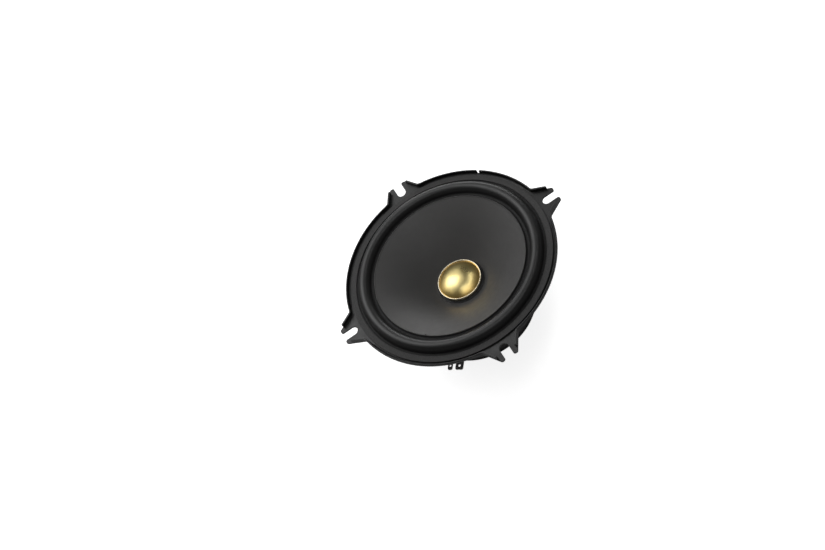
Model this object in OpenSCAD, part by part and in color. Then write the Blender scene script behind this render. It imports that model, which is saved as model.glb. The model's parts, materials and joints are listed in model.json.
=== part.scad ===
// A 13 cm car door woofer, lying on its magnet with the cone facing up.
// The origin is the centre of the yoke's rear face, and +Z points towards the listener.
// The four mounting tabs lie on +X, +Y, -X and -Y.

/* [Frame] */
// Outside radius of the basket's rim
rim_r = 66.7; // [66.2:0.1:67.2]
// Height of the mounting face over the yoke's rear face
face_z = 51; // [50.8:0.1:51.6]
// Thickness of the pressed steel sheet
sheet = 1; // [0.9:0.1:1.1]
// Height of the turned-up rim over the mounting face
lip_h = 2.75; // [2.5:0.05:3]
// Radius of the round body that goes through the panel's cut-out
spigot_r = 57.2; // [56.8:0.1:57.4]
// Width of one of the four spokes
spoke_w = 18; // [14:0.5:20]
// Angle by which the spokes are turned away from the diagonals
spoke_turn = 9; // [0:1:10]

/* [Mounting tabs] */
// Radius of the circle through the centres of the slots' round ends
slot_r = 69.4; // [69:0.1:70]
// Width of a screw slot
slot_w = 5.6; // [5:0.1:6]
// Radius at which the prongs end
tab_tip_r = 76.3; // [75.5:0.1:77]
// Radius of the corners of a prong's tip
prong_tip = 1.2; // [0.8:0.05:1.2]
// Distance from a tab's centre line to its flank at the rim
tab_root = 11.5; // [11:0.1:12]

/* [Motor] */
// Thickness of the yoke's back plate
yoke_t = 5; // [4:0.1:5.5]
// Radius of the yoke's back plate
yoke_r = 38.5; // [36:0.5:39]
// Thickness of the ferrite ring
magnet_t = 11.8; // [11.6:0.1:12]
// Radius of the ferrite ring
magnet_r = 40; // [39:0.5:41]
// Radius of the hole in the ferrite ring
magnet_hole = 19; // [18:0.5:20]
// Thickness of the top plate
plate_t = 4; // [3.8:0.1:4.2]
// Radius of the top plate
plate_r = 38; // [37:0.5:38]
// Radius of the pole piece
pole_r = 12.25; // [12:0.05:12.3]

/* [Voice coil] */
// Radius inside the coil former
former_r = 12.75; // [12.7:0.05:12.8]
// Wall of the coil former
former_wall = 0.2; // [0.15:0.05:0.25]
// Thickness of the two-layer winding
winding_t = 0.5; // [0.4:0.05:0.5]
// Height of the winding
winding_h = 9; // [8:0.5:10]
// Clearance between the winding and the top plate's hole
coil_gap = 0.4; // [0.3:0.05:0.5]

/* [Diaphragm] */
// Height of the cone's neck
neck_z = 30; // [29.8:0.1:30.2]
// Radius of the cone's outer edge
cone_r = 48; // [47.8:0.1:48.4]
// Height of the cone's front edge over the mounting face
cone_rise = 2.4; // [2.2:0.1:2.6]
// Wall of the cone
cone_wall = 0.8; // [0.6:0.1:0.9]
// Radius of the dust cap
cap_r = 13.9; // [13.8:0.1:14]
// Height of the dust cap's rim
cap_z = 34.2; // [33.8:0.1:34.6]
// Height of the dust cap's dome over its rim
cap_dome = 4.2; // [3.5:0.1:5]

/* [Suspension] */
// Radius of the middle of the surround's roll
roll_mid = 54.5; // [54.4:0.1:54.6]
// Outside radius of the roll's section
roll_r = 3.9; // [3.7:0.1:4]
// Thickness of the rubber
rubber = 0.6; // [0.5:0.1:0.7]
// Thickness of the gasket ring
gasket_t = 0.7; // [0.6:0.1:1]
// Height of the spider's seat on the basket
seat_z = 25.6; // [25.6:0.1:26]
// Number of waves in the spider
waves = 5; // [4:1:6]
// Height of a wave over the spider's middle
wave_h = 0.9; // [0.7:0.1:0.9]

/* [Terminals] */
// Thickness of the terminal board
board_t = 1.6; // [1.4:0.1:1.6]
// Width of the terminal board
board_w = 14; // [13:0.5:15]
// Radius at which the blades end
blade_tip_r = 54.8; // [53:0.1:55]
// Width of the narrow, negative blade
narrow_w = 2.8; // [2.8:0.1:3]
// Width of the wide, positive blade
wide_w = 4.8; // [4.7:0.1:4.8]
// Diameter of a braided lead
lead_d = 1.2; // [1:0.1:1.3]

/* [Hidden] */
round_fn = 180;
fine_fn = 48;

// Heights of the motor, from the back
magnet_z = yoke_t;
plate_z = magnet_z + magnet_t;
floor_z = plate_z + plate_t;
pole_top = floor_z + 0.5;
plate_hole = former_r + former_wall + winding_t + coil_gap;
yoke_edge = 1.5;
magnet_chamfer = 0.8;

// Radii of the basket's shell
floor_r = 20;
riser_r = 32;
ledge_r = 40.2;
shoulder_z = 43.4;
rim_bend = 2.4;
notch_angle = 45;
notch_w = 2.2;
notch_depth = 2.6;

// Windows between the spokes
window_in = 42.2;
window_out = 54.6;
window_corner = 2.5;
window_top = seat_z + 17.5;

// Mounting tabs
root_fillet = 2.4;
prong_w = 2.5;
lip_end_r = 73.4;
tab_base = [rim_r - 11.7, 16];
tab_foot = [rim_r - 3.3, 18.3];

// Lead window in the spoke that carries the terminals
terminal_angle = 225 + spoke_turn;
lead_window = [5.6, 11];
lead_window_r = 44;

// Coil and former
former_out = former_r + former_wall;
coil_mid = plate_z + plate_t / 2;
former_low = coil_mid - winding_h / 2 - 0.5;
collar_out = former_out + 0.2;
collar_low = seat_z - 1;
neck_low = neck_z - 0.8;

// Cone, with a flat land behind its edge for the surround's inner lip
front_r = cone_r - 0.4;
land_w = 1.5;
land_in = cone_r - land_w;
cone_top = face_z + cone_rise;
edge_h = 1.5;
land_z = cone_top - edge_h;
cone_bulge = 0.9;
cone_edge = 0.2;

// The stub that the moulding gate leaves on the cone's edge
gate_r = 0.45;
gate_h = 0.3;
gate_angle = 225;
gate_circle = cone_r - 0.8;
gate_foot = land_z + 0.5;

// Dust cap
cap_wall = 0.5;
bead_w = 1.3;
bead_h = 0.5;

// Surround
roll_z = cone_top - 1;
inner_lip_r = land_in + 0.1;
inner_lip_t = 0.5;
outer_lip_r = 64;
outer_lip_t = 0.5;
gasket_in = 60.2;
gasket_out = 64;

// Spider
spider_t = 0.4;
spider_neck = 1.2;
spider_out = 36.2;
wave_in = 14.6;
wave_out = 31;

// Rivets between the basket and the top plate
rivet_circle = 26;
rivet_r = 1.25;
rivet_head = 2;
rivet_depth = 2.5;

// Terminals, along their own radius
board_in = 32.6;
board_out = 47;
board_rivet_r = 38.4;
spade_t = 0.8;
spade_in = 40.6;
spade_gap = 1.2;
spade_rivet_r = 43.5;
spade_hole_r = 0.8;
blade_bevel = 0.6;
wide_hole = 1.7;
narrow_hole = 1.4;
wide_y = (wide_w + spade_gap) / 2;
narrow_y = -(narrow_w + spade_gap) / 2 - 0.8;
lead_start_z = seat_z - sheet + 1.4;
solder_top = lead_start_z - 0.06;
joint_z = 28;
joint_r = 14.1;
joint_turn = 14;

// Unit vector along v
function unit(v) = v / norm(v);

// Points of a round corner of radius r at b, between a and c
function corner(a, b, c, r, n = 4) =
    let (
        u = unit(a - b),
        v = unit(c - b),
        half = acos(u * v) / 2,
        middle = b + unit(u + v) * r / sin(half),
        from = b + u * r / tan(half),
        to = b + v * r / tan(half)
    )
    [for (i = [0:n]) middle + unit(from + (to - from) * i / n - middle) * r];

// A closed outline with a radius at each of its corners
function rounded(points, radii) =
    let (n = len(points))
    [
        for (i = [0:n - 1])
            each radii[i] > 0
                ? corner(points[(i + n - 1) % n], points[i], points[(i + 1) % n], radii[i])
                : [points[i]],
    ];

// Height of the cone's front face at radius r
function cone_z(r) =
    let (u = (r - former_out) / (front_r - former_out))
    neck_z + (cone_top - 0.1 - neck_z) * u + 4 * cone_bulge * u * (1 - u);

// Height of the spider's lower face at radius r
function spider_z(r) =
    let (u = (r - wave_in) / (wave_out - wave_in))
    seat_z + (u < 0 || u > 1 ? 0 : wave_h * sin(360 * waves * u));

// Point at parameter t, from 0 to 1, between q and r on a smooth curve through p, q, r and s
function smooth(p, q, r, s, t) =
    0.5 * (2 * q + (r - p) * t + (2 * p - 5 * q + 4 * r - s) * t * t
        + (3 * q - p - 3 * r + s) * t * t * t);

// Points along a smooth curve through all the route's points
function curve(route, steps) =
    let (last = len(route) - 1)
    [
        for (i = [0:last - 1])
            for (k = [0:steps - 1])
                smooth(
                    route[max(i - 1, 0)], route[i], route[i + 1], route[min(i + 2, last)], k / steps
                ),
        route[last],
    ];

// One ring of a tube of diameter d at c, square to direction d1
function ring_at(c, d1, d, sides) =
    let (side = unit(cross(d1, [sin(terminal_angle), -cos(terminal_angle), 0.01])), up = cross(d1, side))
    [for (k = [0:sides - 1]) c + (side * cos(360 * k / sides) + up * sin(360 * k / sides)) * d / 2];

// A point at radius r, y to the side and height z, in the terminals' own direction
function at_terminal(r, y, z) =
    [
        r * cos(terminal_angle) - y * sin(terminal_angle),
        r * sin(terminal_angle) + y * cos(terminal_angle),
        z,
    ];

// The route of a lead from its blade to the coil, with its blade's side y
function lead_route(y, side) =
    [
        at_terminal(spade_rivet_r, y, lead_start_z),
        at_terminal(43.6, y, 29.4),
        at_terminal(42, y, 32.6),
        at_terminal(37, y * 1.1, 34),
        at_terminal(30, y * 1.2, 32.6),
        at_terminal(23, y * 1.1, 30),
        at_terminal(17.5, side * 3.6, 28.4),
        at_terminal(joint_r * cos(joint_turn), side * joint_r * sin(joint_turn), joint_z),
    ];

module ring(r_out, r_in, h) {
    difference() {
        cylinder(r = r_out, h = h, $fn = round_fn);
        translate([0, 0, -1]) cylinder(r = r_in, h = h + 2, $fn = round_fn);
    }
}

// A turned shape from its section
module turned(points) {
    rotate_extrude($fn = round_fn) polygon(points);
}

module tube_along(path, d, sides = 8) {
    n = len(path);
    rings = [
        for (i = [0:n - 1])
            ring_at(path[i], unit(path[min(i + 1, n - 1)] - path[max(i - 1, 0)]), d, sides),
    ];
    polyhedron(
        points = [for (r = rings) each r],
        faces = [
            [for (k = [0:sides - 1]) k],
            for (i = [0:n - 2])
                for (k = [0:sides - 1])
                    [
                        i * sides + k, (i + 1) * sides + k,
                        (i + 1) * sides + (k + 1) % sides, i * sides + (k + 1) % sides,
                    ],
            [for (k = [sides - 1:-1:0]) (n - 1) * sides + k],
        ]
    );
}

module at_terminals() {
    rotate(terminal_angle) children();
}

// Corner b of an outline, with its two edges moved inwards by d
function inset_at(a, b, c, d) =
    let (u = unit(b - a), v = unit(c - b))
    b + [-u.y - v.y, u.x + v.x] * d / (1 + u * v);

// A closed anticlockwise outline with all its edges moved inwards by d
function inset(points, d) =
    let (n = len(points))
    [for (i = [0:n - 1]) inset_at(points[(i + n - 1) % n], points[i], points[(i + 1) % n], d)];

// The tab on +X, drawn in by d, with its foot inside the rim
module tab(d) {
    root = [sqrt(rim_r * rim_r - tab_root * tab_root), tab_root];
    tip = [tab_tip_r, slot_w / 2 + prong_w];
    side = [tab_base, tab_foot, root, tip];
    radii = [0, 0, root_fillet + d, max(prong_tip - d, 0.1)];
    outline = [for (p = side) [p.x, -p.y], for (i = [3:-1:0]) side[i]];
    polygon(rounded(inset(outline, d), [each radii, for (i = [3:-1:0]) radii[i]]));
}

// An open slot with its round end and its rounded mouth
module tab_slot() {
    half = slot_w / 2;
    mouth = tab_tip_r;
    translate([slot_r, 0]) circle(d = slot_w + 0.04, $fn = fine_fn);
    polygon([
        [slot_r, -half],
        each corner([slot_r, -half], [mouth, -half], [mouth, -half - 2], prong_tip),
        [mouth + 2, -half - 2], [mouth + 2, half + 2],
        each corner([mouth, half + 2], [mouth, half], [slot_r, half], prong_tip),
        [slot_r, half],
    ]);
}

// The four windows between the spokes, with round corners
module windows() {
    half = spoke_w / 2;
    c = window_corner;
    module spokes(w) {
        for (a = [0:90:90]) rotate(terminal_angle + a) square([150, 2 * w], center = true);
    }
    difference() {
        circle(r = window_out - c, $fn = round_fn);
        circle(r = window_in + c, $fn = round_fn);
        spokes(half);
    }
    difference() {
        circle(r = window_out, $fn = round_fn);
        circle(r = window_in, $fn = round_fn);
        spokes(half + c);
    }
    for (a = [0:90:270], side = [-1, 1], r = [window_in + c, window_out - c])
        rotate(terminal_angle + a)
            translate([sqrt(r * r - pow(half + c, 2)), side * (half + c)])
                circle(r = c, $fn = fine_fn);
}

// The shell's section: floor, riser, spider seat, slanted spokes, spigot, flange and turned-up rim
module basket_shell() {
    inner = spigot_r - sheet;
    top = face_z + lip_h;
    edge = sheet / 2 - 0.03;
    turned(rounded(
        [
            [floor_r, floor_z], [riser_r, floor_z], [riser_r, seat_z - sheet],
            [ledge_r + 0.5, seat_z - sheet], [spigot_r, shoulder_z - 0.6],
            [spigot_r, face_z - sheet], [rim_r, face_z - sheet], [rim_r, top],
            [rim_r - sheet, top], [rim_r - sheet, face_z], [inner, face_z], [inner, shoulder_z],
            [ledge_r, seat_z], [riser_r - sheet, seat_z], [riser_r - sheet, floor_z + sheet],
            [floor_r, floor_z + sheet],
        ],
        [0, 0.6, 0.4, 2, 2, 0, rim_bend, edge, edge, rim_bend - sheet, 1.2, 1.2, 1, 0.8, 0.4, 0]
    ));
}

// The four tabs, as thick as the sheet and the turned-up edge along their flanks together
module tabs() {
    difference() {
        translate([0, 0, face_z - sheet]) linear_extrude(lip_h + sheet)
            for (a = [0:90:270]) rotate(a) tab(0);
        translate([0, 0, face_z]) cylinder(r = rim_r - sheet / 2, h = lip_h + 1, $fn = round_fn);
    }
}

// The open space over the tabs, inside their turned-up flanks and over the prongs' ends
module tab_recesses() {
    translate([0, 0, face_z]) linear_extrude(lip_h + 1)
        for (a = [0:90:270]) rotate(a) {
            tab(sheet);
            translate([lip_end_r, -10]) square([10, 20]);
        }
}

module basket() {
    color("#1d1e20") difference() {
        union() {
            basket_shell();
            tabs();
        }
        tab_recesses();
        translate([0, 0, face_z - 2]) linear_extrude(lip_h + 3)
            for (a = [0:90:270]) rotate(a) tab_slot();
        translate([0, 0, seat_z - 3]) linear_extrude(window_top - seat_z + 3) windows();
        at_terminals() {
            translate([lead_window_r - lead_window.x / 2, -lead_window.y / 2, seat_z - 4])
                cube([lead_window.x, lead_window.y, 12]);
            translate([board_rivet_r, 0, seat_z - 3]) cylinder(r = rivet_r, h = 5, $fn = fine_fn);
        }
        for (a = [0:90:270])
            rotate(a + notch_angle) translate([rivet_circle, 0, floor_z - 1])
                cylinder(r = rivet_r, h = 4, $fn = fine_fn);
        rotate(notch_angle) translate([0, 0, face_z]) linear_extrude(lip_h + 1)
            polygon([
                [rim_r + 1, -notch_w], [rim_r + 1 - notch_depth, 0], [rim_r + 1, notch_w],
            ]);
    }
}

module front_gasket() {
    low = face_z + outer_lip_t;
    color("#3a3b3d") turned(rounded(
        [[gasket_in, low], [gasket_out, low], [gasket_out, low + gasket_t], [gasket_in, low + gasket_t]],
        [0, 0, 0.3, 0.3]
    ));
}

// The half roll of rubber with its two glued lips
module surround() {
    roll_in = roll_mid - roll_r;
    roll_out = roll_mid + roll_r;
    low = land_z - inner_lip_t;
    upper = roll_r + 1;
    color("#26272a") rotate_extrude($fn = round_fn) {
        intersection() {
            difference() {
                translate([roll_mid, roll_z]) circle(r = roll_r, $fn = 96);
                translate([roll_mid, roll_z]) circle(r = roll_r - rubber, $fn = 96);
            }
            translate([roll_mid - upper, roll_z]) square([2 * upper, upper]);
        }
        translate([inner_lip_r, low]) square([roll_in + rubber - inner_lip_r, inner_lip_t]);
        translate([roll_in, low]) square([rubber, roll_z - low]);
        translate([roll_out - rubber, face_z]) square([rubber, roll_z - face_z]);
        translate([roll_out - rubber, face_z]) square([outer_lip_r - roll_out + rubber, outer_lip_t]);
    }
}

// The corrugated cloth disc that centres the coil
module spider() {
    steps = 12 * waves;
    radii = [for (i = [0:steps]) wave_in + (wave_out - wave_in) * i / steps];
    inner = [collar_out, collar_out + spider_t];
    color("#b8924f") turned([
        [inner[0], seat_z], for (r = radii) [r, spider_z(r)], [spider_out, seat_z],
        [spider_out, seat_z + spider_t],
        for (i = [steps:-1:0]) [radii[i], spider_z(radii[i]) + spider_t],
        [inner[1], seat_z + spider_t], [inner[1], seat_z + spider_neck], [inner[0], seat_z + spider_neck],
    ]);
}

module top_plate() {
    color("#8f9296") difference() {
        translate([0, 0, plate_z]) ring(plate_r, plate_hole, plate_t);
        for (a = [0:90:270])
            rotate(a + notch_angle) translate([rivet_circle, 0, floor_z - rivet_depth])
                cylinder(r = rivet_r, h = rivet_depth + 0.5, $fn = fine_fn);
    }
}

module magnet() {
    c = magnet_chamfer;
    color("#2c2c2e") turned([
        [magnet_hole, magnet_z], [magnet_r - c, magnet_z], [magnet_r, magnet_z + c],
        [magnet_r, plate_z - c], [magnet_r - c, plate_z], [magnet_hole, plate_z],
    ]);
}

// The back plate and the pole in one piece
module yoke() {
    color("#1f2022") turned(rounded(
        [
            [0, 0], [yoke_r, 0], [yoke_r, yoke_t], [pole_r, yoke_t], [pole_r, pole_top],
            [0, pole_top],
        ],
        [0, yoke_edge, 0.3, 0.8, 0.6, 0]
    ));
}

module plate_rivets() {
    color("#a3a6aa") for (a = [0:90:270])
        rotate(a + notch_angle) translate([rivet_circle, 0, 0]) turned([
            [0, floor_z - rivet_depth], [rivet_r, floor_z - rivet_depth], [rivet_r, floor_z + sheet],
            [rivet_head, floor_z + sheet], [rivet_head - 0.3, floor_z + sheet + 0.7],
            [0, floor_z + sheet + 0.9],
        ]);
}

module terminal_board() {
    low = seat_z - sheet - board_t;
    color("#4d2f1f") at_terminals() difference() {
        translate([board_in, -board_w / 2, low]) cube([board_out - board_in, board_w, board_t]);
        translate([board_rivet_r, 0, low - 1]) cylinder(r = rivet_r, h = 4, $fn = fine_fn);
        for (y = [wide_y, narrow_y])
            translate([spade_rivet_r, y, low - 1]) cylinder(r = spade_hole_r, h = 4, $fn = fine_fn);
    }
}

module board_rivet() {
    low = seat_z - sheet - board_t;
    color("#a3a6aa") at_terminals() translate([board_rivet_r, 0, 0]) turned([
        [0, low - 0.6], [1.7, low - 0.5], [1.9, low], [rivet_r, low], [rivet_r, seat_z],
        [1.7, seat_z], [1.5, seat_z + 0.6], [0, seat_z + 0.7],
    ]);
}

// A flat blade with its hole, from its riveted root to its bevelled tip
module spade(w, y, hole) {
    low = seat_z - sheet - board_t - spade_t;
    at_terminals() translate([0, y, low]) linear_extrude(spade_t) difference() {
        polygon([
            [spade_in, -w / 2], [blade_tip_r - 0.7, -w / 2], [blade_tip_r, -w / 2 + blade_bevel],
            [blade_tip_r, w / 2 - blade_bevel], [blade_tip_r - 0.7, w / 2], [spade_in, w / 2],
        ]);
        translate([blade_tip_r - 2.6, 0]) circle(d = hole, $fn = fine_fn);
        translate([spade_rivet_r, 0]) circle(r = spade_hole_r, $fn = fine_fn);
    }
}

module positive_spade() {
    color("#c9cacb") spade(wide_w, wide_y, wide_hole);
}

module negative_spade() {
    color("#c9cacb") spade(narrow_w, narrow_y, narrow_hole);
}

module spade_rivets() {
    low = seat_z - sheet - board_t - spade_t;
    color("#c4b27a") at_terminals() for (y = [wide_y, narrow_y])
        translate([spade_rivet_r, y, 0]) turned([
            [0, low - 0.5], [1.2, low - 0.4], [1.3, low], [spade_hole_r, low],
            [spade_hole_r, seat_z - sheet],
            [1.3, seat_z - sheet], [1.2, seat_z - sheet + 0.5], [0, seat_z - sheet + 0.6],
        ]);
}

// Solder that holds each lead's end on its rivet
module spade_solder() {
    low = seat_z - sheet + 0.6;
    color("#b9bbbe") at_terminals() for (y = [wide_y, narrow_y])
        translate([spade_rivet_r, y, 0]) turned([
            [0, low], [0.9, low], [1, low + 0.3], [0.7, solder_top], [0, solder_top],
        ]);
}

module positive_lead() {
    color("#b08a5a") tube_along(curve(lead_route(wide_y, 1), 5), lead_d);
}

module negative_lead() {
    color("#b08a5a") tube_along(curve(lead_route(narrow_y, -1), 5), lead_d);
}

module cone() {
    steps = 24;
    first = former_out + 0.5;
    front = [for (i = [0:steps]) first + (front_r - first) * i / steps];
    back = [for (i = [steps - 1:-1:0]) first + (land_in - first) * i / steps];
    color("#4a4b4d") {
        turned([
            [former_out, neck_z], for (r = front) [r, cone_z(r)],
            [cone_r - cone_edge, cone_top], [cone_r, cone_top - cone_edge], [cone_r, land_z],
            [land_in, land_z], for (r = back) [r, cone_z(r) - cone_wall],
            [first, neck_low], [former_out, neck_low],
        ]);
        rotate(gate_angle) translate([gate_circle, 0, gate_foot])
            cylinder(r = gate_r, h = cone_top + gate_h - gate_foot, $fn = fine_fn);
    }
}

// The domed cap with its raised rim and its short side wall
module dust_cap() {
    wall = cap_wall;
    edge = cap_r - 0.8;
    dome_r = (edge * edge + cap_dome * cap_dome) / (2 * cap_dome);
    half = asin(edge / dome_r);
    middle = cap_z + cap_dome - dome_r;
    arc = [for (i = [0:16]) half * i / 16];
    color("#c9a24a") turned([
        for (a = arc) [dome_r * sin(a), middle + dome_r * cos(a)],
        [cap_r - 0.7, cap_z + 0.3], [cap_r - 0.3, cap_z + 0.45], [cap_r, cap_z + 0.15],
        [cap_r, cone_z(cap_r)], [cap_r - wall, cone_z(cap_r - wall)], [cap_r - wall, cap_z - wall],
        for (i = [15:-1:0])
            [(dome_r - wall) * sin(arc[i]), middle + (dome_r - wall) * cos(arc[i])],
    ]);
}

// The bead of glue round the cap's foot
module cap_adhesive() {
    foot = cap_r + bead_w;
    color("#111112") turned([
        [cap_r, cone_z(cap_r)], [foot, cone_z(foot)], [cap_r + 0.8, cone_z(foot) + 0.15],
        [cap_r, cone_z(foot) + bead_h],
    ]);
}

module coil_former() {
    color("#c8b88a") translate([0, 0, former_low]) ring(former_out, former_r, neck_z - former_low);
}

// Grooves in which the coil's two ends run up the former
module wire_paths(w, low, high) {
    for (side = [-1, 1])
        rotate(terminal_angle + side * joint_turn) translate([former_out - 0.5, -w / 2, low])
            cube([1, w, high - low]);
}

module former_collar() {
    color("#8a6b43") difference() {
        translate([0, 0, collar_low]) ring(collar_out, former_out, neck_low - collar_low);
        wire_paths(1.1, collar_low - 1, joint_z + 0.4);
    }
}

module voice_coil() {
    color("#b5652d") translate([0, 0, coil_mid - winding_h / 2])
        ring(former_out + winding_t, former_out, winding_h);
}

module coil_wires() {
    low = coil_mid + winding_h / 2;
    high = joint_z + 0.3;
    color("#b5652d") intersection() {
        translate([0, 0, low]) ring(collar_out, former_out, high - low);
        wire_paths(0.8, low, high);
    }
}

// Solder that joins each lead to its coil wire
module lead_solder() {
    color("#b9bbbe") for (side = [-1, 1])
        rotate(terminal_angle + side * joint_turn) difference() {
            translate([collar_out - 0.4, 0, joint_z]) rotate([0, 90, 0])
                cylinder(r = 0.7, h = 1.2, $fn = fine_fn);
            cylinder(r = collar_out, h = 60, $fn = round_fn);
        }
}

module neck_adhesive() {
    color("#9a8c5a") turned([
        [collar_out, neck_low - 0.4], [collar_out + 0.4, neck_low], [collar_out, neck_low],
    ]);
}

basket();
front_gasket();
surround();
spider();
top_plate();
magnet();
yoke();
plate_rivets();
terminal_board();
board_rivet();
positive_spade();
negative_spade();
spade_rivets();
spade_solder();
positive_lead();
negative_lead();
cone();
dust_cap();
cap_adhesive();
coil_former();
former_collar();
voice_coil();
coil_wires();
lead_solder();
neck_adhesive();
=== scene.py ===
"""The looks of a car door woofer that lies on its magnet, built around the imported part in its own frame."""

import json
import math

import bpy
import numpy as np
from mathutils import Matrix, Vector


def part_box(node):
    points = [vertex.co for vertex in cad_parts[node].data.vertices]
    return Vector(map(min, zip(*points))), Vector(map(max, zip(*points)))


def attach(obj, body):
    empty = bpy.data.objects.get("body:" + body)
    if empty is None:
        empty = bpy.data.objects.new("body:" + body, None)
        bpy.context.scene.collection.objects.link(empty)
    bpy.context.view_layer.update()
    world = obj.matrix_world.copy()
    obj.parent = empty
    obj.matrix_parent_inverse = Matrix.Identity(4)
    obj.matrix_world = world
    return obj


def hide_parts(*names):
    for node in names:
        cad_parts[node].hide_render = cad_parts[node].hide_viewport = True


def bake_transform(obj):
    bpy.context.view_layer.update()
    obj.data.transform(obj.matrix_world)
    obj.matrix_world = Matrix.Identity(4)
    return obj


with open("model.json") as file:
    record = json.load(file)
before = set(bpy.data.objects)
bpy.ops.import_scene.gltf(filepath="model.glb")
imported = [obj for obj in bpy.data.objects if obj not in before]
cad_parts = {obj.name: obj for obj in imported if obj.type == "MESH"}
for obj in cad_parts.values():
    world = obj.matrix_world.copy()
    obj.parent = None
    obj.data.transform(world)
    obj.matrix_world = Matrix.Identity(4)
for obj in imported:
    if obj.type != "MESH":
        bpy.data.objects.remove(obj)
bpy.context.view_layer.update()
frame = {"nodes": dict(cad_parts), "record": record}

MM = 0.001
TURN = 2 * math.pi

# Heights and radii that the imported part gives
FACE_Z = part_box("surround")[0].z
ROLL_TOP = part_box("surround")[1].z
LIP_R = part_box("surround")[1].x
SEAT_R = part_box("spider")[1].x
FORMER_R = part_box("coil_former")[1].x
NECK_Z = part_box("coil_former")[1].z
NECK_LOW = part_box("cone")[0].z
CONE_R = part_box("cone")[1].x
CAP_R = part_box("dust_cap")[1].x
CAP_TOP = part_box("dust_cap")[1].z
COLLAR_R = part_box("former_collar")[1].x
COIL_LOW, COIL_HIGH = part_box("voice_coil")

# The cone's section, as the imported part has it
GATE_H = 0.3 * MM
CONE_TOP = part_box("cone")[1].z - GATE_H
FRONT_R = CONE_R - 0.4 * MM
LAND_IN = CONE_R - 1.5 * MM
LAND_Z = CONE_TOP - 1.5 * MM
CONE_WALL = 0.8 * MM
CONE_BULGE = 0.9 * MM
GATE_ANGLE = math.radians(225)

# The surround's and the spider's sections
ROLL_MID = 54.5 * MM
ROLL_R = 3.9 * MM
RUBBER = 0.6 * MM
LIP_T = 0.5 * MM
SPIDER_T = 0.4 * MM
WAVES = 5
WAVE_H = 0.9 * MM
WAVE_IN, WAVE_OUT = 14.6 * MM, 31 * MM
SEAT_Z = 25.6 * MM

# The terminals' direction, and the routes of the two leads in it: radius, share to the side, height
TERMINAL_ANGLE = math.radians(234)
LEAD_D = 1.2 * MM
LEAD_SIDES = {"positive_lead": (3.0, 1), "negative_lead": (-2.8, -1)}
JOINT_TURN = math.radians(14)


# ---------------------------------------------------------------- the camera and the light


def basis(right, up, back, place):
    """A matrix whose columns are those three axes, at that place."""
    m = Matrix((right, up, back)).transposed().to_4x4()
    m.translation = place
    return m


def make_camera():
    """The photograph's view: from high in front, rolled, and looking past the middle of the face."""
    azimuth, elevation, roll = (math.radians(a) for a in (-4.191, 51.701, -37.476))
    distance, across, above = 712.1 * MM, 22.06 * MM, 5.57 * MM
    forward = Vector((
        math.sin(azimuth) * math.cos(elevation),
        math.cos(azimuth) * math.cos(elevation),
        -math.sin(elevation),
    ))
    level = Vector((math.cos(azimuth), -math.sin(azimuth), 0))
    upright = level.cross(forward)
    right = level * math.cos(roll) + upright * math.sin(roll)
    up = upright * math.cos(roll) - level * math.sin(roll)
    place = Vector((0, 0, FACE_Z)) - right * across - up * above - forward * distance
    data = bpy.data.cameras.new("camera")
    data.sensor_width = 36
    data.lens = 52.33
    data.clip_start = 0.01
    camera = bpy.data.objects.new("camera", data)
    camera.matrix_world = basis(right, up, -forward, place)
    bpy.context.scene.collection.objects.link(camera)
    bpy.context.scene.camera = camera


def softbox(name, towards, along, size, radiance, distance=1.1):
    """A rectangular lamp in direction towards, its first side lying along, with that radiance."""
    back = Vector(towards).normalized()
    up = back.cross(Vector(along)).normalized()
    right = up.cross(back)
    data = bpy.data.lights.new(name, "AREA")
    data.shape = "RECTANGLE"
    data.size, data.size_y = size
    data.energy = radiance * math.pi * size[0] * size[1]
    lamp = bpy.data.objects.new(name, data)
    lamp.matrix_world = basis(right, up, back, Vector((0, 0, FACE_Z)) + back * distance)
    lamp.visible_camera = False
    bpy.context.scene.collection.objects.link(lamp)


def make_studio():
    """A key lamp with a wide soft halo, a narrow strip lamp, top and back lamps, and a dim room."""
    softbox("key", (-0.32, 0.56, 0.77), (0.5, -0.4, 0.5), (0.72, 0.56), 2.3)
    softbox("halo", (-0.3, 0.6, 0.74), (1, 0.2, 0.2), (1.2, 1.2), 0.8)
    softbox("strip", (0.47, 0.1, 0.875), (0.38, 0.78, -0.26), (0.86, 0.12), 3)
    softbox("top", (0.02, -0.26, 0.965), (1, 0, 0), (0.6, 0.42), 1.8)
    softbox("back", (0.3, 0.93, 0.22), (1, 0, 0), (0.9, 0.22), 4.5)
    world = bpy.data.worlds.new("room")
    world.use_nodes = True
    tree = world.node_tree
    place = tree.nodes.new("ShaderNodeTexCoord")
    split = tree.nodes.new("ShaderNodeSeparateXYZ")
    fade = tree.nodes.new("ShaderNodeMapRange")
    for name, value in (("From Min", 0.1), ("From Max", 0.5), ("To Min", 0.22), ("To Max", 0.07)):
        fade.inputs[name].default_value = value
    tree.links.new(place.outputs["Generated"], split.inputs[0])
    tree.links.new(split.outputs["Z"], fade.inputs["Value"])
    tree.links.new(fade.outputs[0], tree.nodes["Background"].inputs["Strength"])
    tree.nodes["Background"].inputs["Color"].default_value = (1, 1, 1, 1)
    bpy.context.scene.world = world
    bpy.context.scene.view_settings.view_transform = "Standard"


# ---------------------------------------------------------------- procedural materials


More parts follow.
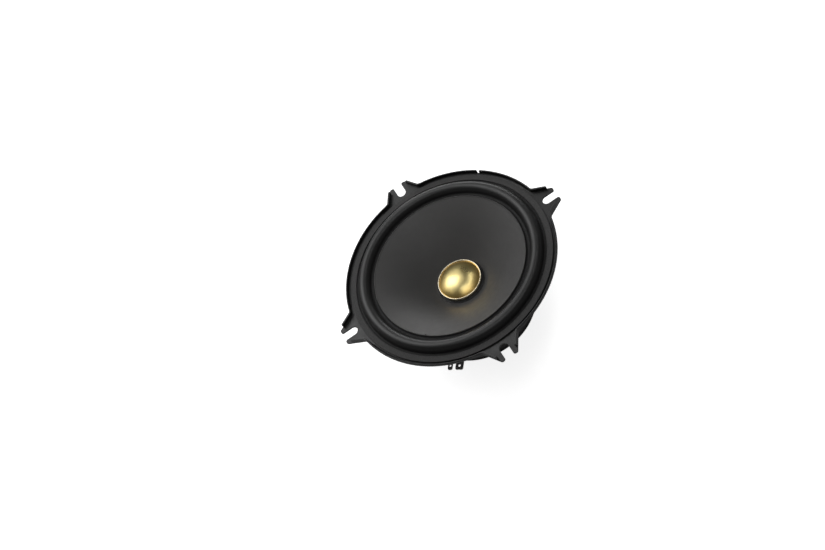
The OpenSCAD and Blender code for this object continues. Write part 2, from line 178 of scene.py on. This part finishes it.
class Paint:
    """One procedural material in the making. A value that is a socket is linked, and any other is set."""

    def __init__(self, name):
        self.material = bpy.data.materials.new(name)
        self.material.use_nodes = True
        self.tree = self.material.node_tree
        self.shader = self.tree.nodes["Principled BSDF"]
        self.place = self.node("TexCoord").outputs["Object"]

    def node(self, kind, inputs=None, **settings):
        made = self.tree.nodes.new("ShaderNode" + kind)
        for key, value in settings.items():
            setattr(made, key, value)
        for key, value in (inputs or {}).items():
            self.put(made.inputs[key], value)
        return made

    def put(self, socket, value):
        if isinstance(value, bpy.types.NodeSocket):
            self.tree.links.new(value, socket)
        else:
            socket.default_value = value

    def math(self, operation, a, b=0.0):
        return self.node("Math", {0: a, 1: b}, operation=operation).outputs[0]

    def stretched(self, x, y, z):
        """The place in the frame, with each axis scaled."""
        return self.node("VectorMath", {0: self.place, 1: (x, y, z)}, operation="MULTIPLY").outputs[0]

    def parts(self):
        split = self.node("SeparateXYZ", {0: self.place})
        return split.outputs["X"], split.outputs["Y"], split.outputs["Z"]

    def radius(self):
        x, y, _ = self.parts()
        return self.math("SQRT", self.math("ADD", self.math("MULTIPLY", x, x), self.math("MULTIPLY", y, y)))

    def lathe(self):
        """A vector that follows a turned surface: radius, a little of the way round, and height."""
        round_share = 0.001
        x, y, z = self.parts()
        angle = self.math("MULTIPLY", self.math("ARCTAN2", y, x), round_share)
        return self.node("CombineXYZ", {0: self.radius(), 1: angle, 2: z}).outputs[0]

    def noise(self, size, detail=3.0, rough=0.5, vector=None):
        """Smooth noise from 0 to 1, with features of that size in metres."""
        inputs = {"Vector": vector or self.place, "Scale": 1 / size, "Detail": detail, "Roughness": rough}
        return self.node("TexNoise", inputs).outputs[0]

    def cells(self, size, vector=None):
        """Distance to the nearest of many scattered points, in cells of that size."""
        inputs = {"Vector": vector or self.place, "Scale": 1 / size}
        return self.node("TexVoronoi", inputs).outputs["Distance"]

    def rescale(self, value, low, high, to_low=0.0, to_high=1.0):
        """Value mapped from low..high to to_low..to_high, and held there."""
        inputs = {"Value": value, "From Min": low, "From Max": high, "To Min": to_low, "To Max": to_high}
        return self.node("MapRange", inputs).outputs[0]

    def mix(self, share, a, b):
        """Colour a where share is 0 and b where it is 1."""
        made = self.node("Mix", data_type="RGBA")
        self.put(made.inputs["Factor"], share)
        for socket, colour in ((made.inputs["A"], a), (made.inputs["B"], b)):
            colours = [s for s in made.inputs if s.type == "RGBA" and s.name == socket.name]
            self.put(colours[0], colour)
        return [s for s in made.outputs if s.type == "RGBA"][0]

    def edges(self, width):
        """1 on the part's sharp edges, within that width, and 0 elsewhere."""
        soft = self.node("Bevel", {"Radius": width}, samples=6).outputs[0]
        flat = self.node("NewGeometry").outputs["Normal"]
        agree = self.node("VectorMath", {0: soft, 1: flat}, operation="DOT_PRODUCT").outputs["Value"]
        return self.rescale(agree, 0.97, 0.75)

    def rounding(self, width):
        """The normal, with sharp edges rounded over that width."""
        return self.node("Bevel", {"Radius": width}, samples=6).outputs[0]

    def bump(self, height, depth, normal=None):
        """A normal that follows height, from 0 to 1, over that depth in metres."""
        inputs = {"Height": height, "Distance": depth, "Strength": 1.0}
        if normal is not None:
            inputs["Normal"] = normal
        return self.node("Bump", inputs).outputs[0]

    def done(self, colour, roughness, normal=None, **constants):
        self.put(self.shader.inputs["Base Color"], colour)
        self.put(self.shader.inputs["Roughness"], roughness)
        if normal is not None:
            self.put(self.shader.inputs["Normal"], normal)
        for name, value in constants.items():
            self.put(self.shader.inputs[name.replace("_", " ")], value)
        return self.material


def grey(value, warm=0.0):
    """A near-neutral colour."""
    return (value * (1 + warm), value, value * (1 - warm), 1)


def black_steel():
    """Satin black paint on pressed steel: faint orange peel, with thin paint on the edges."""
    p = Paint("black_steel")
    cloudy = p.noise(14 * MM, 3)
    peel = p.noise(0.9 * MM, 2, 0.4)
    colour = p.mix(cloudy, grey(0.006), grey(0.01))
    colour = p.mix(p.math("MULTIPLY", p.edges(0.25 * MM), 0.4), colour, grey(0.04, 0.03))
    rough = p.rescale(p.noise(5 * MM, 4), 0.3, 0.7, 0.36, 0.48)
    return p.done(colour, rough, p.bump(peel, 0.02 * MM, p.rounding(0.3 * MM)))


def gasket_board():
    """Matt dark pressed board: short tangled fibres and a slightly fuzzy surface."""
    p = Paint("gasket_board")
    fibres = p.cells(0.5 * MM, p.stretched(1, 0.35, 1))
    fuzz = p.noise(0.25 * MM, 4, 0.65)
    colour = p.mix(p.rescale(fibres, 0.1, 0.6), grey(0.05, 0.02), grey(0.032, 0.01))
    colour = p.mix(p.rescale(p.noise(9 * MM, 3), 0.35, 0.7, 0, 0.35), colour, grey(0.04))
    height = p.math("ADD", p.math("MULTIPLY", fibres, 0.5), fuzz)
    return p.done(colour, p.rescale(fuzz, 0.3, 0.7, 0.62, 0.8), p.bump(height, 0.03 * MM))


def surround_rubber():
    """Smooth black rubber with a dull bloom and a fine moulded grain. Its two glued lips are roughened."""
    p = Paint("surround_rubber")
    bloom = p.noise(11 * MM, 4, 0.6)
    grain = p.noise(0.35 * MM, 2, 0.5)
    colour = p.mix(bloom, grey(0.006), grey(0.012))
    radius = p.radius()
    inner, outer = ROLL_MID - ROLL_R, ROLL_MID + ROLL_R
    scuffed = p.rescale(radius, inner - 0.2 * MM, inner + 0.8 * MM, 0.36, 0)
    scuffed = p.math("ADD", scuffed, p.rescale(radius, outer - 0.5 * MM, outer, 0, 0.4))
    rough = p.math("ADD", p.rescale(bloom, 0.3, 0.7, 0.36, 0.42), scuffed)
    return p.done(colour, rough, p.bump(grain, 0.008 * MM))


def cone_plastic():
    """Charcoal moulded plastic: fine turned lines from the mould, and specks of mica under the skin."""
    p = Paint("cone_plastic")
    rings = p.noise(0.35 * MM, 2, 0.5, p.lathe())
    flow = p.noise(16 * MM, 4, 0.55)
    mica = p.rescale(p.cells(0.9 * MM), 0.16, 0.05)
    colour = p.mix(flow, grey(0.062, 0.015), grey(0.078, 0.015))
    colour = p.mix(p.math("MULTIPLY", mica, 0.5), colour, grey(0.14))
    rough = p.rescale(p.noise(3 * MM, 3), 0.3, 0.7, 0.44, 0.52)
    tangent = p.node("Tangent", direction_type="RADIAL", axis="Z").outputs[0]
    p.put(p.shader.inputs["Tangent"], tangent)
    return p.done(colour, rough, p.bump(rings, 0.004 * MM), Anisotropic=0.6)


def cap_gold():
    """Satin gold-coloured metal with a soft spun grain; the deeper gold towards the edge is painted shade,
    and the pale rim is a polished edge with a painted highlight.
    """
    p = Paint("cap_gold")
    radius = p.radius()
    spun = p.noise(0.15 * MM, 2, 0.5, p.lathe())
    haze = p.noise(4 * MM, 3)
    colour = p.mix(haze, (0.76, 0.63, 0.27, 1), (0.8, 0.66, 0.3, 1))
    # Painted shade: the gold turns deeper towards the cap's edge.
    colour = p.mix(p.rescale(radius, 8 * MM, CAP_R - 1.2 * MM), colour, (0.74, 0.5, 0.15, 1))
    # Pale rim: a polished edge, with a painted highlight in its pale colour.
    rim = p.rescale(radius, CAP_R - 0.95 * MM, CAP_R - 0.75 * MM)
    colour = p.mix(rim, colour, (0.8, 0.72, 0.54, 1))
    rough = p.math("SUBTRACT", p.rescale(haze, 0.3, 0.7, 0.27, 0.3), p.math("MULTIPLY", rim, 0.06))
    return p.done(colour, rough, p.bump(spun, 0.0003 * MM), Metallic=1.0)


def ferrite():
    """Ground ferrite: nearly black and dull, with pits, pale grinding lines and chipped edges."""
    p = Paint("ferrite")
    pits = p.rescale(p.cells(0.8 * MM), 0.05, 0.25)
    grinding = p.noise(0.5 * MM, 3, 0.6, p.stretched(0.06, 1, 0.06))
    colour = p.mix(p.noise(7 * MM, 4, 0.6), grey(0.042, 0.02), grey(0.066, 0.02))
    colour = p.mix(p.math("MULTIPLY", p.edges(0.4 * MM), 0.6), colour, grey(0.13, 0.03))
    chips = p.noise(1.6 * MM, 4, 0.7)
    height = p.math("ADD", p.math("MULTIPLY", grinding, 0.3), p.math("ADD", pits, chips))
    return p.done(colour, p.rescale(chips, 0.3, 0.7, 0.5, 0.68), p.bump(height, 0.04 * MM))


def plated(name, colour_a, colour_b, rough, turned=True):
    """Plated or plain metal with turning lines or brushing, and a cloudy plating."""
    p = Paint(name)
    lines = p.noise(0.22 * MM, 2, 0.5, p.lathe() if turned else p.stretched(1, 0.05, 1))
    cloud = p.noise(5 * MM, 4, 0.6)
    colour = p.mix(cloud, colour_a, colour_b)
    roughness = p.rescale(cloud, 0.3, 0.7, rough, rough + 0.12)
    normal = p.bump(lines, 0.006 * MM, p.rounding(0.15 * MM))
    return p.done(colour, roughness, normal, Metallic=1.0)


def black_yoke():
    """Black-coated forged steel: turning lines show through, and the rim is rubbed."""
    p = Paint("black_yoke")
    lines = p.noise(0.4 * MM, 3, 0.5, p.lathe())
    cloud = p.noise(8 * MM, 4, 0.6)
    colour = p.mix(cloud, grey(0.012), grey(0.022))
    colour = p.mix(p.math("MULTIPLY", p.edges(0.5 * MM), 0.4), colour, grey(0.11, 0.02))
    rough = p.rescale(cloud, 0.3, 0.7, 0.36, 0.5)
    return p.done(colour, rough, p.bump(lines, 0.012 * MM, p.rounding(0.4 * MM)))


def board_fibre():
    """Brown laminated board: paper fibres along it, darker layers at its edge."""
    p = Paint("board_fibre")
    fibre = p.noise(0.6 * MM, 4, 0.6, p.stretched(1, 0.25, 1))
    _, _, z = p.parts()
    layers = p.math("SINE", p.math("MULTIPLY", z, TURN / (0.25 * MM)))
    colour = p.mix(fibre, (0.075, 0.032, 0.014, 1), (0.13, 0.06, 0.026, 1))
    colour = p.mix(p.rescale(layers, 0.2, 1.0, 0, 0.25), colour, (0.04, 0.018, 0.009, 1))
    return p.done(colour, p.rescale(fibre, 0.3, 0.7, 0.38, 0.52), p.bump(fibre, 0.01 * MM))


def spider_cloth():
    """Resin-dipped cloth: an open plain weave, darker in the hollows between the threads."""
    p = Paint("spider_cloth")
    pitch = 0.55 * MM
    x, y, _ = p.parts()
    warp = p.math("SINE", p.math("MULTIPLY", x, TURN / pitch))
    weft = p.math("SINE", p.math("MULTIPLY", y, TURN / pitch))
    weave = p.math("MAXIMUM", p.math("ABSOLUTE", warp), p.math("ABSOLUTE", weft))
    over = p.math("MULTIPLY", warp, weft)
    slubs = p.noise(1.4 * MM, 3, 0.6, p.stretched(1, 0.3, 1))
    colour = p.mix(p.rescale(weave, 0.3, 1.0), (0.16, 0.09, 0.03, 1), (0.5, 0.33, 0.13, 1))
    colour = p.mix(p.rescale(slubs, 0.35, 0.75, 0, 0.5), colour, (0.36, 0.22, 0.08, 1))
    height = p.math("ADD", weave, p.math("MULTIPLY", over, 0.4))
    return p.done(colour, p.rescale(slubs, 0.3, 0.7, 0.5, 0.7), p.bump(height, 0.06 * MM), Sheen_Weight=0.15)


def braid():
    """Copper tinsel, dull where the strands cross."""
    p = Paint("braid")
    tarnish = p.noise(1.5 * MM, 4, 0.6)
    colour = p.mix(tarnish, (0.62, 0.34, 0.2, 1), (0.42, 0.24, 0.14, 1))
    strands = p.noise(0.08 * MM, 2)
    rough = p.rescale(tarnish, 0.3, 0.7, 0.32, 0.5)
    return p.done(colour, rough, p.bump(strands, 0.006 * MM), Metallic=0.85)


def copper_wire():
    """Enamelled copper: amber varnish over bright wire."""
    p = Paint("copper_wire")
    varnish = p.noise(2 * MM, 3, 0.6)
    colour = p.mix(varnish, (0.6, 0.22, 0.09, 1), (0.46, 0.15, 0.06, 1))
    return p.done(
        colour, p.rescale(varnish, 0.3, 0.7, 0.22, 0.34), p.bump(varnish, 0.01 * MM),
        Metallic=0.9, Coat_Weight=0.5, Coat_Roughness=0.15,
    )


def glue(name, thick, thin, rough):
    """Cured adhesive, with ripples from the way it ran."""
    p = Paint(name)
    runs = p.noise(2.2 * MM, 3, 0.5)
    colour = p.mix(runs, thick, thin)
    return p.done(colour, p.rescale(runs, 0.3, 0.7, rough, rough + 0.15), p.bump(runs, 0.06 * MM))


def former_film():
    """Amber film, glossy, with faint winding marks."""
    p = Paint("former_film")
    marks = p.noise(0.8 * MM, 2, 0.5, p.lathe())
    colour = p.mix(marks, (0.5, 0.27, 0.07, 1), (0.6, 0.35, 0.11, 1))
    return p.done(colour, p.rescale(marks, 0.3, 0.7, 0.2, 0.3), p.bump(marks, 0.006 * MM))


def collar_paper():
    """Brown wrapping paper, fibrous and dull."""
    p = Paint("collar_paper")
    fibre = p.noise(0.5 * MM, 4, 0.65, p.stretched(1, 1, 0.3))
    colour = p.mix(fibre, (0.17, 0.09, 0.04, 1), (0.28, 0.16, 0.08, 1))
    return p.done(colour, p.rescale(fibre, 0.3, 0.7, 0.7, 0.85), p.bump(fibre, 0.02 * MM))


def floor_paint():
    """Matt white floor with faint shadows. Its glow is for the eye and doesn't light the part."""
    p = Paint("floor_paint")
    patchy = p.noise(60 * MM, 3)
    colour = p.mix(patchy, grey(0.78), grey(0.8))
    rough = p.rescale(patchy, 0.3, 0.7, 0.75, 0.85)
    glow = p.math("MULTIPLY", p.node("LightPath").outputs["Is Camera Ray"], 0.85)
    p.put(p.shader.inputs["Emission Color"], (1, 1, 1, 1))
    return p.done(colour, rough, p.bump(p.noise(0.8 * MM), 0.01 * MM), Emission_Strength=glow)


def make_materials():
    """The finish of each material slot of the record."""
    steel = (grey(0.52, 0.01), grey(0.64, 0.03))
    return {
        "black_steel": black_steel(),
        "gasket_board": gasket_board(),
        "surround_rubber": surround_rubber(),
        "spider_cloth": spider_cloth(),
        "zinc_steel": plated("zinc_steel", (0.5, 0.5, 0.48, 1), (0.6, 0.59, 0.56, 1), 0.3),
        "ferrite": ferrite(),
        "black_yoke": black_yoke(),
        "rivet_steel": plated("rivet_steel", *steel, 0.26),
        "board_fibre": board_fibre(),
        "tinned_brass": plated("tinned_brass", grey(0.68, 0.02), grey(0.76, 0.03), 0.2, False),
        "raw_brass": plated("raw_brass", (0.6, 0.42, 0.15, 1), (0.7, 0.52, 0.22, 1), 0.28),
        "solder": plated("solder", grey(0.45), grey(0.6), 0.3, False),
        "braid": braid(),
        "cone_plastic": cone_plastic(),
        "cap_gold": cap_gold(),
        "black_glue": glue("black_glue", grey(0.003), grey(0.006), 0.5),
        "former_film": former_film(),
        "collar_paper": collar_paper(),
        "copper_wire": copper_wire(),
        "amber_glue": glue("amber_glue", (0.3, 0.2, 0.06, 1), (0.42, 0.3, 0.12, 1), 0.2),
    }


def dress_cad_nodes(materials):
    """Each carried-over node gets the finish of its slot."""
    for part in frame["record"]["subparts"]:
        mesh = frame["nodes"][part["node"]].data
        mesh.materials.clear()
        mesh.materials.append(materials[part["material_slot"]])


# ---------------------------------------------------------------- turned and swept pieces


def piece(name, points, faces, slot, replaced=None):
    """A smooth mesh with that slot's finish; the replaced node, if given, is hidden."""
    mesh = bpy.data.meshes.new(name)
    mesh.from_pydata([tuple(p) for p in points], [], faces)
    mesh.validate()
    mesh.shade_smooth()
    mesh.set_sharp_from_angle(angle=math.radians(45))
    mesh.materials.append(materials[slot])
    made = bpy.data.objects.new(name, mesh)
    bpy.context.scene.collection.objects.link(made)
    if replaced:
        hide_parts(replaced)
    return made


def turned(section, segments):
    """(points, faces) of a closed section of (radius, height), turned about Z. The axis makes poles."""
    points, rows = [], []
    for r, z in section:
        if r < 1e-9:
            rows.append([len(points)] * segments)
            points.append((0, 0, z))
            continue
        rows.append(list(range(len(points), len(points) + segments)))
        for k in range(segments):
            a = TURN * k / segments
            points.append((r * math.cos(a), r * math.sin(a), z))
    faces = []
    for i, low in enumerate(rows):
        high = rows[(i + 1) % len(rows)]
        for k in range(segments):
            j = (k + 1) % segments
            corners = list(dict.fromkeys((low[k], low[j], high[j], high[k])))
            if len(corners) > 2:
                faces.append(corners)
    return points, faces


def arc(middle, radius, start, end, steps):
    """Points of an arc about middle, from one angle to another, in degrees."""
    angles = [math.radians(start + (end - start) * i / steps) for i in range(steps + 1)]
    return [(middle[0] + radius * math.cos(a), middle[1] + radius * math.sin(a)) for a in angles]


def rounded(section, radii):
    """A closed section with a radius at each of its corners."""
    steps = 5
    made = []
    for i, radius in enumerate(radii):
        b = Vector(section[i])
        if not radius:
            made.append(tuple(b))
            continue
        u = (Vector(section[i - 1]) - b).normalized()
        v = (Vector(section[(i + 1) % len(section)]) - b).normalized()
        half = u.angle(v) / 2
        middle = b + (u + v).normalized() * (radius / math.sin(half))
        reach = radius / math.tan(half)
        for k in range(steps + 1):
            spoke = b + u * reach + (v - u) * (reach * k / steps) - middle
            made.append(tuple(middle + spoke.normalized() * radius))
    return made


def smoothstep(t):
    t = np.clip(t, 0, 1)
    return t * t * (3 - 2 * t)


def bend_with_cone(made):
    """Bakes made's placement into its mesh; nothing weights it between the chassis and the diaphragm."""
    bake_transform(made)


# ---------------------------------------------------------------- the pieces


def cone_height(r):
    """Height of the cone's front face at radius r."""
    u = (r - FORMER_R) / (FRONT_R - FORMER_R)
    return NECK_Z + (CONE_TOP - 0.1 * MM - NECK_Z) * u + 4 * CONE_BULGE * u * (1 - u)


def make_cone():
    """The cone, with a rounded edge, a flat land behind it, and the stub of the moulding gate on it."""
    first = FORMER_R + 0.5 * MM
    front = [first + (FRONT_R - 0.1 * MM - first) * i / 72 for i in range(73)]
    back = [first + (LAND_IN - first) * i / 60 for i in range(60)]
    edge_r = 0.32 * MM
    stub_r, stub_h, stub_round = 0.45 * MM, GATE_H + 0.7 * MM, 0.15 * MM
    stub_inset = 0.8 * MM
    edge = arc((CONE_R - edge_r, CONE_TOP - edge_r), edge_r, 110, 0, 8)
    land = arc((CONE_R - edge_r, LAND_Z + edge_r), edge_r, 0, -90, 6)
    section = [
        (FORMER_R, NECK_Z), *[(r, cone_height(r)) for r in front], *edge, *land, (LAND_IN, LAND_Z),
        *[(r, cone_height(r) - CONE_WALL) for r in reversed(back)], (FORMER_R, NECK_LOW),
    ]
    points, faces = turned(section, 288)
    cone = piece("cone_shell", points, faces, "cone_plastic", "cone")
    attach(cone, "diaphragm")
    stub = rounded([(0, 0), (stub_r * 1.1, 0), (stub_r, stub_h), (0, stub_h)], [0, 0, stub_round, 0])
    stub_points, stub_faces = turned(stub, 32)
    foot = Vector((math.cos(GATE_ANGLE), math.sin(GATE_ANGLE), 0)) * (CONE_R - stub_inset)
    foot.z = CONE_TOP + GATE_H - stub_h
    mark = piece("cone_gate_mark", [foot + Vector(q) for q in stub_points], stub_faces, "cone_plastic")
    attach(mark, "diaphragm")


def make_cap():
    """The domed cap: a shallow dome, a groove, a bright raised rim and a short side wall."""
    rim = 13.1 * MM
    cap_z = CAP_TOP - 4.2 * MM
    rise = CAP_TOP - cap_z
    dome = (rim * rim + rise * rise) / (2 * rise)
    half = math.degrees(math.asin(rim / dome))
    middle = (0, CAP_TOP - dome)
    wall = 0.5 * MM
    bead_r, bead_lift = 0.38 * MM, 0.08 * MM
    bead = arc((CAP_R - bead_r, cap_z + bead_lift), bead_r, 140, 0, 10)
    outside = [*arc(middle, dome, 90, 90 - half, 40), *bead, (CAP_R, cone_height(CAP_R))]
    inside = arc(middle, dome - wall, 90 - half, 90, 24)
    section = [*outside, (CAP_R - wall, cone_height(CAP_R - wall)), (CAP_R - wall, cap_z - wall), *inside]
    points, faces = turned(section, 192)
    cap = piece("dust_cap_dome", points, faces, "cap_gold", "dust_cap")
    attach(cap, "diaphragm")


def make_cap_adhesive():
    """The bead of glue round the cap's foot, a little wavy."""
    width, height = 1.3 * MM, 0.55 * MM
    outer = CAP_R + width
    foot = cone_height(outer)
    section = [
        (CAP_R, cone_height(CAP_R) - 0.05 * MM), (outer, foot - 0.02 * MM),
        (CAP_R + 0.8 * width, foot + 0.1 * MM), (CAP_R + 0.45 * width, foot + 0.2 * MM),
        (CAP_R + 0.15 * width, foot + 0.85 * height), (CAP_R, foot + height),
    ]
    points, faces = turned(section, 192)
    wavy = []
    for x, y, z in points:
        a = math.atan2(y, x)
        swell = 1 + 0.008 * math.sin(7 * a + 1) + 0.006 * math.sin(17 * a)
        proud = math.hypot(x, y) > CAP_R + 0.5 * width
        wavy.append((x * swell, y * swell, z + 0.01 * (swell - 1)) if proud else (x, y, z))
    bead = piece("cap_glue_bead", wavy, faces, "black_glue", "cap_adhesive")
    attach(bead, "diaphragm")


def make_surround():
    """The rubber surround: glued inner lip, groove, half roll and glued outer lip."""
    inner, outer = ROLL_MID - ROLL_R, ROLL_MID + ROLL_R
    roll_z = ROLL_TOP - ROLL_R
    middle = (ROLL_MID, roll_z)
    inner_lip, low = LAND_IN + 0.1 * MM, LAND_Z - LIP_T
    groove_r = (inner - CONE_R) / 2
    groove = (CONE_R + groove_r, LAND_Z + groove_r)
    foot = 0.6 * MM
    outer_z = FACE_Z + LIP_T
    section = [
        (inner_lip, LAND_Z), (CONE_R - 0.05 * MM, LAND_Z), *arc(groove, groove_r, 200, 360, 16),
        *arc(middle, ROLL_R, 180, 0, 56),
        *arc((outer + foot, outer_z + foot), foot, 180, 270, 6), (LIP_R, outer_z), (LIP_R, FACE_Z),
        *arc((outer - RUBBER + foot, FACE_Z + foot), foot, 270, 180, 6),
        *arc(middle, ROLL_R - RUBBER, 0, 180, 48),
        *arc((inner + RUBBER - foot, low + foot), foot, 0, -90, 6), (inner_lip, low),
    ]
    points, faces = turned(section, 288)
    roll = piece("surround_roll", points, faces, "surround_rubber", "surround")
    bend_with_cone(roll)


def spider_height(r):
    """Height of the spider's lower face at radius r."""
    u = (r - WAVE_IN) / (WAVE_OUT - WAVE_IN)
    return SEAT_Z + (WAVE_H * math.sin(TURN * WAVES * u) if 0 <= u <= 1 else 0)


def make_spider():
    """The corrugated cloth disc, glued to the collar inside and to its seat outside."""
    count = 24 * WAVES
    radii = [WAVE_IN + (WAVE_OUT - WAVE_IN) * i / count for i in range(count + 1)]
    neck = COLLAR_R + SPIDER_T
    section = [
        (COLLAR_R, SEAT_Z), *[(r, spider_height(r)) for r in radii], (SEAT_R, SEAT_Z),
        (SEAT_R, SEAT_Z + SPIDER_T), *[(r, spider_height(r) + SPIDER_T) for r in reversed(radii)],
        (neck + 0.25 * MM, SEAT_Z + SPIDER_T), (neck + 0.05 * MM, SEAT_Z + SPIDER_T + 0.2 * MM),
        (neck, SEAT_Z + 1.2 * MM), (COLLAR_R, SEAT_Z + 1.2 * MM),
    ]
    points, faces = turned(section, 216)
    disc = piece("spider_disc", points, faces, "spider_cloth", "spider")
    bend_with_cone(disc)


def make_voice_coil():
    """The winding, with a ridge for each turn of wire."""
    turns = 32
    pitch = (COIL_HIGH.z - COIL_LOW.z) / turns
    crest = COIL_HIGH.x
    ridges = []
    for k in range(turns):
        low = COIL_LOW.z + k * pitch
        ridges += [(crest - 0.08 * MM, low + 0.02 * pitch), (crest, low + 0.3 * pitch)]
        ridges += [(crest, low + 0.7 * pitch)]
    section = [(FORMER_R, COIL_LOW.z), *ridges, (crest - 0.08 * MM, COIL_HIGH.z), (FORMER_R, COIL_HIGH.z)]
    points, faces = turned(section, 120)
    winding = piece("coil_winding", points, faces, "copper_wire", "voice_coil")
    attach(winding, "diaphragm")


def at_terminal(r, y, z):
    """A point at radius r, y to the side and height z, in the terminals' own direction."""
    c, s = math.cos(TERMINAL_ANGLE), math.sin(TERMINAL_ANGLE)
    return np.array([r * c - y * s, r * s + y * c, z])


def lead_route(y, side):
    """The lead's centre line, smooth through its points from the blade to the coil."""
    stops = [
        (43.5, y, 26.0), (43.6, y, 29.4), (42, y, 32.6), (37, y * 1.1, 34), (30, y * 1.2, 32.6),
        (23, y * 1.1, 30), (17.5, side * 3.6, 28.4),
        (14.1 * math.cos(JOINT_TURN), side * 14.1 * math.sin(JOINT_TURN), 28),
    ]
    stops = [at_terminal(*s) * MM for s in stops]
    steps = 16
    line = []
    for i in range(len(stops) - 1):
        p, q, r, s = (stops[min(max(i + k, 0), len(stops) - 1)] for k in (-1, 0, 1, 2))
        for k in range(steps):
            t = k / steps
            cubic = (3 * q - p - 3 * r + s) * t**3
            line.append(0.5 * (2 * q + (r - p) * t + (2 * p - 5 * q + 4 * r - s) * t**2 + cubic))
    line.append(stops[-1])
    return np.array(line)


def square_to(points):
    """Two unit vectors square to the line at each of its points, carried along without twist."""
    tangents = np.gradient(points, axis=0)
    tangents /= np.linalg.norm(tangents, axis=1)[:, None]
    side = np.cross(tangents[0], (0.3, 0.2, 1.0))
    sides = []
    for t in tangents:
        side = side - t * (side @ t)
        side /= np.linalg.norm(side)
        sides.append(side)
    sides = np.array(sides)
    return sides, np.cross(tangents, sides)


def along(line, spacing):
    """Evenly spaced points of the line, how far along each is, and two unit vectors square to it."""
    steps = np.linalg.norm(np.diff(line, axis=0), axis=1)
    walked = np.concatenate([[0], np.cumsum(steps)])
    marks = np.linspace(0, walked[-1], int(walked[-1] / spacing) + 1)
    even = np.stack([np.interp(marks, walked, line[:, k]) for k in range(3)], axis=1)
    return even, marks, *square_to(even)


def tube(points, radius, sides):
    """(points, faces) of a round tube through those points, closed at both ends."""
    rings, faces = [], []
    for centre, a, b in zip(points, *square_to(points)):
        for k in range(sides):
            angle = TURN * k / sides
            rings.append(centre + (a * math.cos(angle) + b * math.sin(angle)) * radius)
    for i in range(len(points) - 1):
        for k in range(sides):
            j = (k + 1) % sides
            faces.append((i * sides + k, i * sides + j, (i + 1) * sides + j, (i + 1) * sides + k))
    faces.append(tuple(reversed(range(sides))))
    faces.append(tuple(range((len(points) - 1) * sides, len(points) * sides)))
    return rings, faces


def make_lead(name, y, side):
    """A braided lead: strands wound both ways that pass over and under each other."""
    line, walked, u, v = along(lead_route(y, side), 0.18 * MM)
    strands, pitch = 6, 4.2 * MM
    strand_r = 0.14 * MM
    mid_r = LEAD_D / 2 - strand_r - 0.05 * MM
    points, faces, weights = [], [], []
    length = walked[-1]
    for way in (-1, 1):
        for k in range(strands):
            phase = TURN * k / strands
            turn = way * TURN * walked / pitch + phase
            over = way * np.cos(strands * TURN * walked / pitch + (0 if k % 2 else math.pi))
            r = mid_r + 0.06 * MM * over
            path = line + (u * np.cos(turn)[:, None] + v * np.sin(turn)[:, None]) * r[:, None]
            ring_points, ring_faces = tube(path, strand_r, 6)
            start = len(points)
            points += ring_points
            faces += [tuple(i + start for i in f) for f in ring_faces]
            weights += list(np.repeat(smoothstep(walked / length), 6))
    core_points, core_faces = tube(line, mid_r - 0.08 * MM, 8)
    start = len(points)
    points += core_points
    faces += [tuple(i + start for i in f) for f in core_faces]
    weights += list(np.repeat(smoothstep(walked / length), 8))
    lead = piece(name + "_braid", points, faces, "braid", name)
    bend_with_cone(lead)


def make_floor():
    """A plain round floor, wide enough to fill every view."""
    count, reach = 96, 6.0
    angles = [TURN * k / count for k in range(count)]
    ring = [(reach * math.cos(a), reach * math.sin(a), 0) for a in angles]
    mesh = bpy.data.meshes.new("floor")
    mesh.from_pydata(ring, [], [tuple(range(count))])
    mesh.materials.append(floor_paint())
    floor = bpy.data.objects.new("floor", mesh)
    bpy.context.scene.collection.objects.link(floor)


make_camera()
make_studio()
materials = make_materials()
dress_cad_nodes(materials)
make_cone()
make_cap()
make_cap_adhesive()
make_surround()
make_spider()
make_voice_coil()
for lead_name, (lead_y, lead_side) in LEAD_SIDES.items():
    make_lead(lead_name, lead_y, lead_side)
make_floor()
